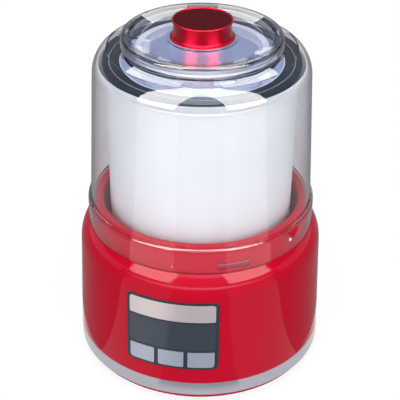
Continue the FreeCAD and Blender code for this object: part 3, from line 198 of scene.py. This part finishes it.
def red_finish():
    """Deep red gloss with a slight orange peel."""
    finish = Finish("red_gloss", (214, 3, 43), Specular_IOR_Level=0.14)
    finish.tint(finish.noise(2600), (204, 2, 42))
    finish.roughen(finish.noise(14), low=0.06, high=0.1)
    return finish.bump(finish.noise(420, detail=1.0), strength=0.03, depth=0.0002)


def knob_finish(name, low, high):
    """Red lacquered metal with fine lines round its axis, between two roughnesses."""
    finish = Finish(name, (178, 8, 35), Metallic=0.92)
    finish.tint(finish.noise(2200), (166, 7, 33))
    finish.roughen(finish.noise(20), low, high)
    lines = finish.noise(1, stretch=(40, 40, 9000))
    return finish.bump(lines, strength=0.04, depth=0.00005)


def brushed_finish(name, colour, other, roughness, grain):
    """Satin metal with level brush lines, grain of them to the metre."""
    finish = Finish(name, colour, Metallic=0.85)
    lines = finish.noise(1, stretch=(30, 30, grain), detail=4.0)
    finish.tint(lines, other)
    varied = 0.06
    finish.roughen(lines, roughness - varied, roughness + varied)
    return finish.bump(lines, strength=0.06, depth=0.00005)


def moulded_finish(name, colour, other, roughness, grain=1800, strength=0.08, shine=0.5):
    """Moulded plastic with an even grain, of so many points to the metre."""
    finish = Finish(name, colour, Specular_IOR_Level=shine)
    finish.tint(finish.noise(30), other)
    varied = 0.04
    finish.roughen(finish.noise(60), roughness - varied, roughness + varied)
    return finish.bump(finish.noise(grain, detail=2.0), strength, depth=0.0001)


def clear_finish():
    """Clear plastic that bends light, with slight waves from the mould."""
    finish = Finish(
        "clear_plastic",
        (255, 255, 255),
        Transmission_Weight=1.0,
        IOR=1.57,
        Specular_IOR_Level=1.0,
    )
    finish.roughen(finish.noise(45), low=0.005, high=0.02)
    finish.bump(finish.noise(55, detail=1.0), strength=0.03, depth=0.0006)
    finish.absorb((0.34, 0.36, 0.46, 1.0), density=110.0)
    return finish.pass_lamps((0.96, 0.962, 0.97, 1.0))


def paddle_finish():
    """Frosted translucent plastic."""
    finish = Finish("frosted_paddle", (238, 242, 250), Transmission_Weight=0.45, IOR=1.3)
    finish.roughen(finish.noise(60), low=0.3, high=0.38)
    finish.bump(finish.noise(700, detail=1.0), strength=0.02, depth=0.0001)
    return finish.pass_lamps((0.8, 0.82, 0.86, 1.0))


# The finishes of the record's material slots, and last those of the scene's own pieces.
FINISHES = {
    "red_gloss": red_finish(),
    "clear_plastic": clear_finish(),
    "paddle_plastic": paddle_finish(),
    "silver_trim": brushed_finish("brushed_band", (182, 182, 190), (160, 162, 172), 0.24, 9000),
    "silver_plate": brushed_finish("brushed_plate", (204, 192, 192), (186, 175, 176), 0.38, 12000),
    "silver_key": brushed_finish("satin_key", (158, 162, 176), (146, 150, 164), 0.46, 7000),
    "steel": brushed_finish("turned_steel", (186, 186, 190), (168, 168, 172), 0.3, 4000),
    "zinc_steel": brushed_finish("zinc_steel", (196, 198, 200), (178, 182, 188), 0.36, 900),
    "bronze": brushed_finish("bush_bronze", (176, 128, 74), (158, 112, 62), 0.38, 2500),
    "lamination": brushed_finish("laminations", (128, 130, 136), (86, 88, 94), 0.45, 2400),
    "copper": brushed_finish("enamelled_copper", (196, 104, 58), (168, 82, 42), 0.34, 3000),
    "slate_plastic": moulded_finish("slate_frame", (38, 47, 58), (32, 40, 50), 0.4, shine=0.3),
    "slate_lens": moulded_finish(
        "slate_window", (56, 66, 82), (50, 60, 74), 0.12, grain=300, strength=0.02
    ),
    "slate_rim": moulded_finish("slate_rim", (26, 36, 47), (21, 30, 40), 0.4, shine=0.1),
    "white_plastic": moulded_finish(
        "white_shell", (242, 242, 242), (237, 237, 238), 0.35, grain=900, strength=0.03, shine=0.05
    ),
    "liner_metal": moulded_finish("bowl_alloy", (214, 225, 246), (204, 216, 242), 0.3, shine=0.2),
    "rubber": moulded_finish(
        "black_rubber", (34, 34, 36), (26, 26, 28), 0.75, grain=1500, strength=0.2
    ),
    "black_plastic": moulded_finish("black_moulding", (30, 31, 34), (24, 25, 28), 0.5),
    "carbon": moulded_finish("carbon_brush", (40, 40, 42), (28, 28, 30), 0.7),
    "gear_nylon": moulded_finish("gear_nylon", (226, 222, 208), (216, 210, 194), 0.45),
    "coolant": moulded_finish("coolant_gel", (150, 190, 214), (136, 178, 206), 0.3),
    "circuit": moulded_finish("circuit_board", (28, 92, 52), (22, 80, 44), 0.4),
    "lcd_grey": moulded_finish(
        "lcd_glass", (120, 132, 124), (112, 124, 116), 0.2, grain=400, strength=0.02
    ),
    "red_knob": knob_finish("red_knob", low=0.28, high=0.34),
    "red_face": knob_finish("red_face", low=0.1, high=0.14),
    # Light grey of the rim's bead: a painted highlight along the rim's step.
    "rim_line": moulded_finish("rim_line", (116, 128, 142), (104, 116, 130), 0.35),
    "rim_edge": moulded_finish("rim_edge", (222, 225, 229), (206, 210, 215), 0.4),
}


def dress_nodes():
    """Give every CAD node the finish of its material slot."""
    slots = {row["node"]: row["material_slot"] for row in frame["record"]["subparts"]}
    for name, item in frame["nodes"].items():
        for slot in item.material_slots:
            slot.material = FINISHES[slots[name]].material


# Small details, in metres

# Edges that turn by more than this stay sharp.
SHARP_ANGLE = math.radians(32)

# Columns of points round a turned piece.
TURN_STEPS = 160


def new_mesh(name, points, faces, finish, body, slot, smooth=True):
    """A piece that rides on a body, smooth but for its sharp edges."""
    mesh = bpy.data.meshes.new(name)
    mesh.from_pydata(points, [], faces)
    mesh.update()
    if smooth:
        mesh.shade_smooth()
        mesh.set_sharp_from_angle(angle=SHARP_ANGLE)
    item = add_object(name, mesh)
    mesh.materials.append(FINISHES[finish].material)
    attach(item, body)
    return item


def around(radius, angle, height):
    """A point at an angle from -Y towards +X."""
    return (radius * math.sin(angle), -radius * math.cos(angle), height)


def arc(radius, height, size, start, end, steps=3):
    """Points on an arc round (radius, height), between two angles in degrees."""
    turns = [math.radians(degrees) for degrees in spaced(start, end, steps)]
    return [(radius + size * math.cos(turn), height + size * math.sin(turn)) for turn in turns]


def oval(middle, across, upward, corners):
    """Points on an oval round a middle, with its two half widths."""
    turns = [2 * math.pi * corner / corners for corner in range(corners)]
    return [
        (middle[0] + across * math.cos(turn), middle[1] + upward * math.sin(turn)) for turn in turns
    ]


def strip(first, second, count):
    """Faces between two closed rows of points, from the number of each row's first point."""
    faces = []
    for step in range(count):
        turn = (step + 1) % count
        faces.append((first + step, first + turn, second + turn, second + step))
    return faces


def turned(profile, closed=True):
    """Points and faces of a profile of (radius, height) pairs turned round the Z axis."""
    points, faces = [], []
    count = len(profile)
    for step in range(TURN_STEPS):
        turn = 2 * math.pi * step / TURN_STEPS
        points += [around(radius, turn, height) for radius, height in profile]
        start, after = step * count, (step + 1) % TURN_STEPS * count
        for side in range(count if closed else count - 1):
            other = (side + 1) % count
            faces.append((start + side, after + side, after + other, start + other))
    return points, faces


def add_rim_ribs():
    """Fine upright ribs round the edge of the bowl's rim."""
    low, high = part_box("bowl_rim")
    radius = high.x
    count = 352
    rise = 0.0007
    # A rib's corners: how far along its share of the edge, and how far out.
    corners = ((0.0, 0.0), (0.3, rise), (0.6, rise), (0.8, 0.0))
    # Rows of corners: the offset from the edge, the height, and the share of the rise.
    rows = (
        (-0.0004, low.z + 0.0001, 0.0),
        (0.00005, low.z + 0.0001, 0.5),
        (0.0001, low.z + 0.0005, 1.0),
        (0.0001, high.z - 0.0016, 1.0),
        (-0.0001, high.z - 0.0012, 0.5),
        (-0.0004, high.z - 0.0011, 0.0),
    )
    points, faces = [], []
    for offset, height, share in rows:
        for rib in range(count):
            for along, out in corners:
                angle = 2 * math.pi * (rib + along) / count
                points.append(around(radius + offset + out * share, angle, height))
    ring = len(corners) * count
    for row in range(len(rows)):
        faces += strip(row * ring, (row + 1) % len(rows) * ring, ring)
    new_mesh("rim_ribs", points, faces, "rim_edge", "bowl", "slate_rim", smooth=False)


def add_rim_trim():
    """The liner's edge rolled over the rim's inner step, and a bead along the step whose light grey
    is a painted highlight.
    """
    low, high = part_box("bowl_rim")
    inner = 0.0657
    foot = low.z + 0.0005
    step_top = high.z - 0.0009
    flange = [
        (inner, foot),
        (inner, step_top - 0.0010),
        (inner + 0.0004, step_top - 0.0001),
        (inner + 0.0008, step_top + 0.0003),
        (inner + 0.0012, step_top + 0.0003),
        (inner + 0.0015, step_top),
        (inner + 0.0014, step_top - 0.0002),
        (inner + 0.0011, step_top - 0.0003),
        (inner + 0.0007, step_top - 0.0006),
        (inner + 0.0005, foot),
    ]
    new_mesh("liner_flange", *turned(flange), "liner_metal", "bowl", "liner_metal")
    bead = oval((0.0755, high.z), across=0.0005, upward=0.0003, corners=8)
    # The bead's light grey paints the highlight along the rim's step.
    new_mesh("rim_bead", *turned(bead), "rim_line", "bowl", "slate_rim")


def add_knob():
    """The lid's knob: a thin lip on a straight drum that flares into its foot."""
    low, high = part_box("lid_knob")
    foot, base, top = high.x, low.z, high.z
    foot_top = base + 0.0014
    drum = foot - 0.0029
    lip = foot - 0.0015
    lip_base = top - 0.0016
    # Radii of the edges, of the flare, under the lip, and outside and inside the lip's top.
    edge, flare, under, outside, inside = 0.0004, 0.0022, 0.0006, 0.0006, 0.0003
    face_radius, face_height = lip - 0.0014, top - 0.0006
    profile = [
        *arc(foot - edge, base + edge, edge, -90, 0),
        *arc(foot - edge, foot_top - edge, edge, 0, 90),
        *arc(drum + flare, foot_top + flare, flare, 270, 180, steps=6),
        *arc(drum + under, lip_base - under, under, 180, 90),
        *arc(lip - edge, lip_base + edge, edge, -90, 0),
        *arc(lip - outside, top - outside, outside, 0, 90, steps=4),
        *arc(lip - outside - inside, top - inside, inside, 90, 150),
        (face_radius, face_height),
    ]
    points, faces = turned(profile, closed=False)
    count = len(profile)
    top_face = len(faces)
    faces.append(tuple(step * count + count - 1 for step in range(TURN_STEPS)))
    faces.append(tuple(step * count for step in reversed(range(TURN_STEPS))))
    knob = new_mesh("turned_knob", points, faces, "red_knob", "lid", "red_gloss")
    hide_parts("lid_knob")
    knob.data.materials.append(FINISHES["red_face"].material)
    knob.data.polygons[top_face].material_index = 1


def add_relief(name, outline, radius, rise, finish):
    """A low bevelled relief on the cover's round wall, from (angle, height) pairs."""
    middle = [sum(values) / len(outline) for values in zip(*outline)]
    root, bevel_start, bevel_end = 0.0004, 0.6, 0.8
    # Rows of the outline: its share of the full size, and how far out of the wall.
    rows = ((1.0, -root), (1.0, rise * bevel_start), (bevel_end, rise))
    points, faces = [], []
    for share, lift in rows:
        for angle, height in outline:
            angle = middle[0] + (angle - middle[0]) * share
            height = middle[1] + (height - middle[1]) * share
            points.append(around(radius + lift, angle, height))
    count = len(outline)
    last = len(points) - count
    for start in range(0, last, count):
        faces += strip(start, start + count, count)
    faces.append(tuple(range(last, len(points))))
    faces.append(tuple(reversed(range(count))))
    new_mesh(name, points, faces, finish, "cover", finish)


def add_skirt_marks():
    """The cover's lock arrow with its dot, whose white is a painted glint, and two clear locating
    pips.
    """
    _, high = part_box("clear_cover")
    radius = high.x
    # Places are in degrees from -Y towards +X, and metres up.
    tips = ((65.4, 0.1382), (69.6, 0.1454), (61.0, 0.1454))
    arrow = [(math.radians(degrees), height) for degrees, height in tips]
    add_relief("lock_arrow", arrow, radius, 0.0012, "red_gloss")
    pips = (
        # The lock dot is a moulded pip, and its white finish is a painted glint.
        ("lock_pip_painted_glint", 62.9, 0.1385, "white_plastic"),
        ("front_pip", -0.6, 0.1313, "clear_plastic"),
        ("side_pip", -57.8, 0.1402, "clear_plastic"),
    )
    pip_radius, pip_rise = 0.0013, 0.0009
    for name, degrees, height, finish in pips:
        circle = oval((math.radians(degrees), height), pip_radius / radius, pip_radius, corners=16)
        add_relief(name, circle, radius, pip_rise, finish)


# Studio, in metres. Sides are in degrees to the right of the camera, and elevations in degrees
# above the object's middle.

STUDIO_MIDDLE = Vector((0, 0, 0.15))

FLOOR_REACH = 6.0
# The floor's greys: for the light that it gives back, and for the shadow that it shows.
FLOOR_BOUNCE = (0.4, 0.4, 0.4, 1)
FLOOR_SHADED = (0.17, 0.17, 0.17, 1)
FLOOR_GLOW = 0.86

# The world's strength as a light and as a backdrop.
WORLD_LIGHT = 0.22
WORLD_SHOWN = 1.0

# How much of the backdrop is taken from mirror images inside clear plastic.
INSIDE_DIMMING = 0.85

# Name, side, elevation, distance, width, height and radiance.
SOFTBOXES = (
    ("left_softbox", -28, 28, 1.6, 1.2, 0.75, 2.95),
    ("right_softbox", 28, 28, 1.6, 1.2, 0.75, 2.95),
    ("top_softbox", 0, 80, 1.6, 1.9, 1.6, 1.8),
    ("back_softbox", 180, 30, 1.8, 1.6, 0.9, 1.9),
)

WHITE = (1, 1, 1, 1)
SCREEN_BLUE = (0.75, 0.86, 1, 1)
ROOM_BLUE = (0.78, 0.84, 1, 1)
GROUND_BLUE = (0.9, 0.92, 1, 1)

# Rows of faces in a panel.
TALL_ROWS = 8
GROUND_ROWS = 4


def stage_tree(mesh, name):
    """The empty node tree of a new material on a mesh."""
    material = bpy.data.materials.new(name)
    material.use_nodes = True
    material.node_tree.nodes.clear()
    mesh.materials.append(material)
    return material.node_tree


def backdrop_rays(tree):
    """1 for rays that show the backdrop: seen directly, mirrored or through clear plastic.

    Mirror images inside the clear plastic show a dim room, as its outside does by the panels.
    """

    def combine(operation, first, second):
        node = tree.nodes.new("ShaderNodeMath")
        node.operation = operation
        for socket, value in zip(node.inputs, (first, second)):
            if isinstance(value, float):
                socket.default_value = value
            else:
                tree.links.new(value, socket)
        return node.outputs[0]

    path = tree.nodes.new("ShaderNodeLightPath").outputs
    shown = combine("MAXIMUM", path["Is Camera Ray"], path["Is Glossy Ray"])
    shown = combine("MAXIMUM", shown, path["Is Transmission Ray"])
    mirrored = combine("GREATER_THAN", path["Glossy Depth"], 0.5)
    inside = combine("MULTIPLY", mirrored, path["Is Transmission Ray"])
    return combine("SUBTRACT", shown, combine("MULTIPLY", inside, INSIDE_DIMMING))


def add_floor():
    """A plain white floor that keeps the object's shadow."""
    mesh = bpy.data.meshes.new("floor")
    reach = FLOOR_REACH
    corners = [(-reach, -reach, 0), (reach, -reach, 0), (reach, reach, 0), (-reach, reach, 0)]
    mesh.from_pydata(corners, [], [(0, 1, 2, 3)])
    floor = add_object("floor", mesh)
    tree = stage_tree(mesh, "white_floor")
    matt = tree.nodes.new("ShaderNodeBsdfDiffuse")
    matt.inputs["Color"].default_value = FLOOR_BOUNCE
    dim = tree.nodes.new("ShaderNodeBsdfDiffuse")
    dim.inputs["Color"].default_value = FLOOR_SHADED
    glow = tree.nodes.new("ShaderNodeEmission")
    glow.inputs["Strength"].default_value = FLOOR_GLOW
    shown = tree.nodes.new("ShaderNodeAddShader")
    mix = tree.nodes.new("ShaderNodeMixShader")
    output = tree.nodes.new("ShaderNodeOutputMaterial")
    tree.links.new(dim.outputs[0], shown.inputs[0])
    tree.links.new(glow.outputs[0], shown.inputs[1])
    tree.links.new(backdrop_rays(tree), mix.inputs[0])
    tree.links.new(matt.outputs[0], mix.inputs[1])
    tree.links.new(shown.outputs[0], mix.inputs[2])
    tree.links.new(mix.outputs[0], output.inputs["Surface"])


def add_world():
    """White surroundings, with a lower level for the light that they give."""
    world = bpy.data.worlds.new("studio")
    scene.world = world
    world.use_nodes = True
    tree = world.node_tree
    sky = tree.nodes["Background"]
    sky.inputs["Color"].default_value = WHITE
    strength = tree.nodes.new("ShaderNodeMapRange")
    strength.inputs["To Min"].default_value = WORLD_LIGHT
    strength.inputs["To Max"].default_value = WORLD_SHOWN
    tree.links.new(backdrop_rays(tree), strength.inputs["Value"])
    tree.links.new(strength.outputs["Result"], sky.inputs["Strength"])


def towards(side):
    """The level direction from the object to a side."""
    turn = math.radians(side)
    return RIGHT * math.sin(turn) - AHEAD * math.cos(turn)


def studio_place(side, elevation, distance):
    """A place round the object's middle."""
    rise = math.radians(elevation)
    return STUDIO_MIDDLE + (towards(side) * math.cos(rise) + UP * math.sin(rise)) * distance


def add_softbox(name, side, elevation, distance, width, height, radiance):
    """A rectangular soft light that faces the object and isn't seen or mirrored itself."""
    data = bpy.data.lights.new(name, "AREA")
    data.shape = "RECTANGLE"
    data.size = width
    data.size_y = height
    data.energy = radiance * math.pi * width * height
    lamp = add_object(name, data)
    place = studio_place(side, elevation, distance)
    facing = (STUDIO_MIDDLE - place).to_track_quat("-Z", "Y").to_matrix().to_4x4()
    lamp.matrix_world = Matrix.Translation(place) @ facing
    lamp.visible_camera = False
    lamp.visible_glossy = False
    lamp.visible_transmission = False


def add_panel(name, columns, colour, strength, fade=False):
    """A panel that only shows in polished surfaces, from columns of points of equal number.

    A panel that fades is brightest at its middle and dark along its edges.
    """
    rows = len(columns[0])
    points = [point for column in columns for point in column]
    faces = []
    for column in range(len(columns) - 1):
        for row in range(rows - 1):
            start = column * rows + row
            faces.append((start, start + rows, start + rows + 1, start + 1))
    mesh = bpy.data.meshes.new(name)
    mesh.from_pydata(points, [], faces)
    panel = add_object(name, mesh)
    tree = stage_tree(mesh, name)
    glow = tree.nodes.new("ShaderNodeEmission")
    glow.inputs["Color"].default_value = colour
    glow.inputs["Strength"].default_value = strength
    if fade:
        shares = mesh.attributes.new("share", "FLOAT", "POINT").data
        for number, share in enumerate(shares):
            across = math.sin(math.pi * (number // rows) / (len(columns) - 1))
            upward = math.sin(math.pi * (number % rows) / (rows - 1))
            share.value = strength * across * upward**2
        faded = tree.nodes.new("ShaderNodeAttribute")
        faded.attribute_name = "share"
        tree.links.new(faded.outputs["Fac"], glow.inputs["Strength"])
    output = tree.nodes.new("ShaderNodeOutputMaterial")
    tree.links.new(glow.outputs[0], output.inputs["Surface"])
    panel.visible_camera = False
    panel.visible_diffuse = False
    panel.visible_transmission = False
    panel.visible_shadow = False


def sides(first, last, step=4):
    """The sides from first to last."""
    return range(first, last + 1, step)


def dome(side, low, high, distance=2.5):
    """A curved column of points between two elevations."""
    return [studio_place(side, elevation, distance) for elevation in spaced(low, high, TALL_ROWS)]


def ground(side, near=0.125, far=2.4, lift=0.001):
    """Points along the floor, between two distances."""
    return [towards(side) * reach + UP * lift for reach in spaced(near, far, GROUND_ROWS)]


def standing(side, low, high, distance):
    """An upright column of points between two heights."""
    return [towards(side) * distance + UP * height for height in spaced(low, high, TALL_ROWS)]


def add_panels():
    """What polished surfaces show: a bright wall, notched by the camera, in a dim room."""
    foot, zenith, ceiling_edge = 10, 90, 57
    notch_height, notch_side = 55, 25
    wall = []
    for side in sides(-66, 66, step=2):
        notch = notch_height * math.sqrt(max(0, 1 - (side / notch_side) ** 2))
        wall.append(dome(side, foot + notch, zenith))
    add_panel("light_wall", wall, WHITE, strength=14.0)
    screen = [dome(side, low=32, high=66, distance=2.6) for side in sides(-28, 28)]
    add_panel("camera_screen", screen, SCREEN_BLUE, strength=5.0)
    ceiling = [dome(side, ceiling_edge, zenith) for side in sides(66, 294)]
    add_panel("ceiling", ceiling, WHITE, strength=3.0)
    card = [dome(side, low=42, high=ceiling_edge, distance=2.4) for side in sides(144, 216)]
    add_panel("crown_card", card, WHITE, strength=6.5)
    room = [dome(side, low=12, high=ceiling_edge) for side in sides(66, 294)]
    add_panel("dim_room", room, ROOM_BLUE, strength=0.16)
    add_panel("dim_ground", [ground(side) for side in sides(64, 296)], GROUND_BLUE, strength=0.32)
    shadow = [ground(side) for side in sides(-22, 22)]
    add_panel("camera_ground", shadow, GROUND_BLUE, strength=0.55)
    front = [standing(side, low=0.02, high=0.28, distance=1.3) for side in sides(-72, 72)]
    add_panel("front_card", front, WHITE, strength=8.0, fade=True)


add_camera()
dress_nodes()
add_rim_ribs()
add_rim_trim()
add_knob()
add_skirt_marks()
add_floor()
add_world()
for softbox in SOFTBOXES:
    add_softbox(*softbox)
add_panels()
